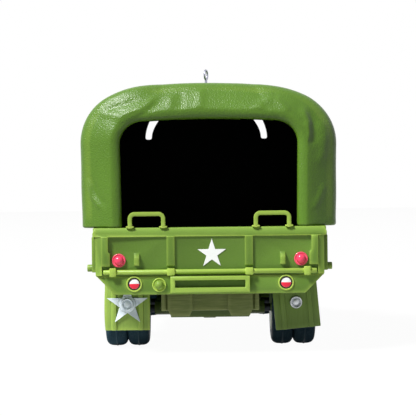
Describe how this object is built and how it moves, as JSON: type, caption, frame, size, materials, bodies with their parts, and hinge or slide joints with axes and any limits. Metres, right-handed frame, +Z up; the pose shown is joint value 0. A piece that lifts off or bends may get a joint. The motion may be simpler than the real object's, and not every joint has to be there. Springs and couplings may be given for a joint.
{
  "type": "toy military cargo truck ornament",
  "caption": "Small moulded six-wheeled military cargo truck with a covered bed, rolling wheels and a wire eyelet to hang it by.",
  "frame": {"origin": "on the floor under the middle of the truck's length and width", "axes": "+X right seen from behind, +Y towards the front bumper, +Z up"},
  "size_m": [0.0494, 0.12, 0.059],
  "materials": {
    "olive_plastic": "moulded, soft gloss with a fine pebble",
    "dark_olive_plastic": "moulded, satin",
    "brown_plastic": "moulded, dull, fine scratches",
    "black_plastic": "moulded, satin",
    "tyre_black": "moulded rubber-like, dull",
    "red_lens": "glossy paint",
    "white_paint": "printed",
    "steel_wire": "drawn wire",
    "bright_rivet": "plated",
    "clear_lens": "glossy",
    "window_glass": "clear"
  },
  "bodies": {
    "truck": {"battery_box": "olive_plastic", "bed_tub": "olive_plastic", "cab_body": "olive_plastic", "cab_door_left": "olive_plastic", "cab_door_right": "olive_plastic", "cab_seat": "black_plastic", "cab_top": "olive_plastic", "canopy": "olive_plastic", "chassis_frame": "dark_olive_plastic", "exhaust_stack": "black_plastic", "flap_rivet_left": "bright_rivet", "flap_rivet_right": "bright_rivet", "flap_star": "white_paint", "front_axle_housing": "dark_olive_plastic", "front_bumper": "olive_plastic", "front_fender_left": "olive_plastic", "front_fender_right": "olive_plastic", "front_leaf_springs": "dark_olive_plastic", "fuel_tank": "olive_plastic", "grab_loop_left": "olive_plastic", "grab_loop_right": "olive_plastic", "grille": "olive_plastic", "hanger_eyelet": "steel_wire", "headlamps": "clear_lens", "hinge_rod": "olive_plastic", "hood": "olive_plastic", "mid_axle_housing": "dark_olive_plastic", "mudflap_left": "olive_plastic", "mudflap_right": "olive_plastic", "rear_axle_housing": "dark_olive_plastic", "rear_crossmember": "brown_plastic", "rear_leaf_springs": "dark_olive_plastic", "running_board_left": "olive_plastic", "running_board_right": "olive_plastic", "socket_cover": "olive_plastic", "steering_wheel": "black_plastic", "tail_lamps": "red_lens", "tail_panel": "olive_plastic", "tail_reflectors": "red_lens", "tail_star": "white_paint", "tail_step": "olive_plastic", "windshield_frame": "olive_plastic", "windshield_glass": "window_glass"},
    "front_wheels": {"front_axle_rod": "steel_wire", "front_hub_left": "olive_plastic", "front_hub_right": "olive_plastic", "front_tyre_left": "tyre_black", "front_tyre_right": "tyre_black"},
    "mid_wheels": {"mid_axle_rod": "steel_wire", "mid_hub_left": "olive_plastic", "mid_hub_right": "olive_plastic", "mid_twin_tyres_left": "tyre_black", "mid_twin_tyres_right": "tyre_black"},
    "rear_wheels": {"rear_axle_rod": "steel_wire", "rear_hub_left": "olive_plastic", "rear_hub_right": "olive_plastic", "rear_twin_tyres_left": "tyre_black", "rear_twin_tyres_right": "tyre_black"}
  },
  "joints": [
    {"name": "front_wheels_roll", "type": "hinge", "parent": "truck", "child": "front_wheels", "pos_m": [0, 0.04565, 0.0075], "axis": [1, 0, 0], "continuous": true},
    {"name": "mid_wheels_roll", "type": "hinge", "parent": "truck", "child": "mid_wheels", "pos_m": [0, -0.0169, 0.0075], "axis": [1, 0, 0], "continuous": true},
    {"name": "rear_wheels_roll", "type": "hinge", "parent": "truck", "child": "rear_wheels", "pos_m": [0, -0.0364, 0.0075], "axis": [1, 0, 0], "continuous": true}
  ]
}
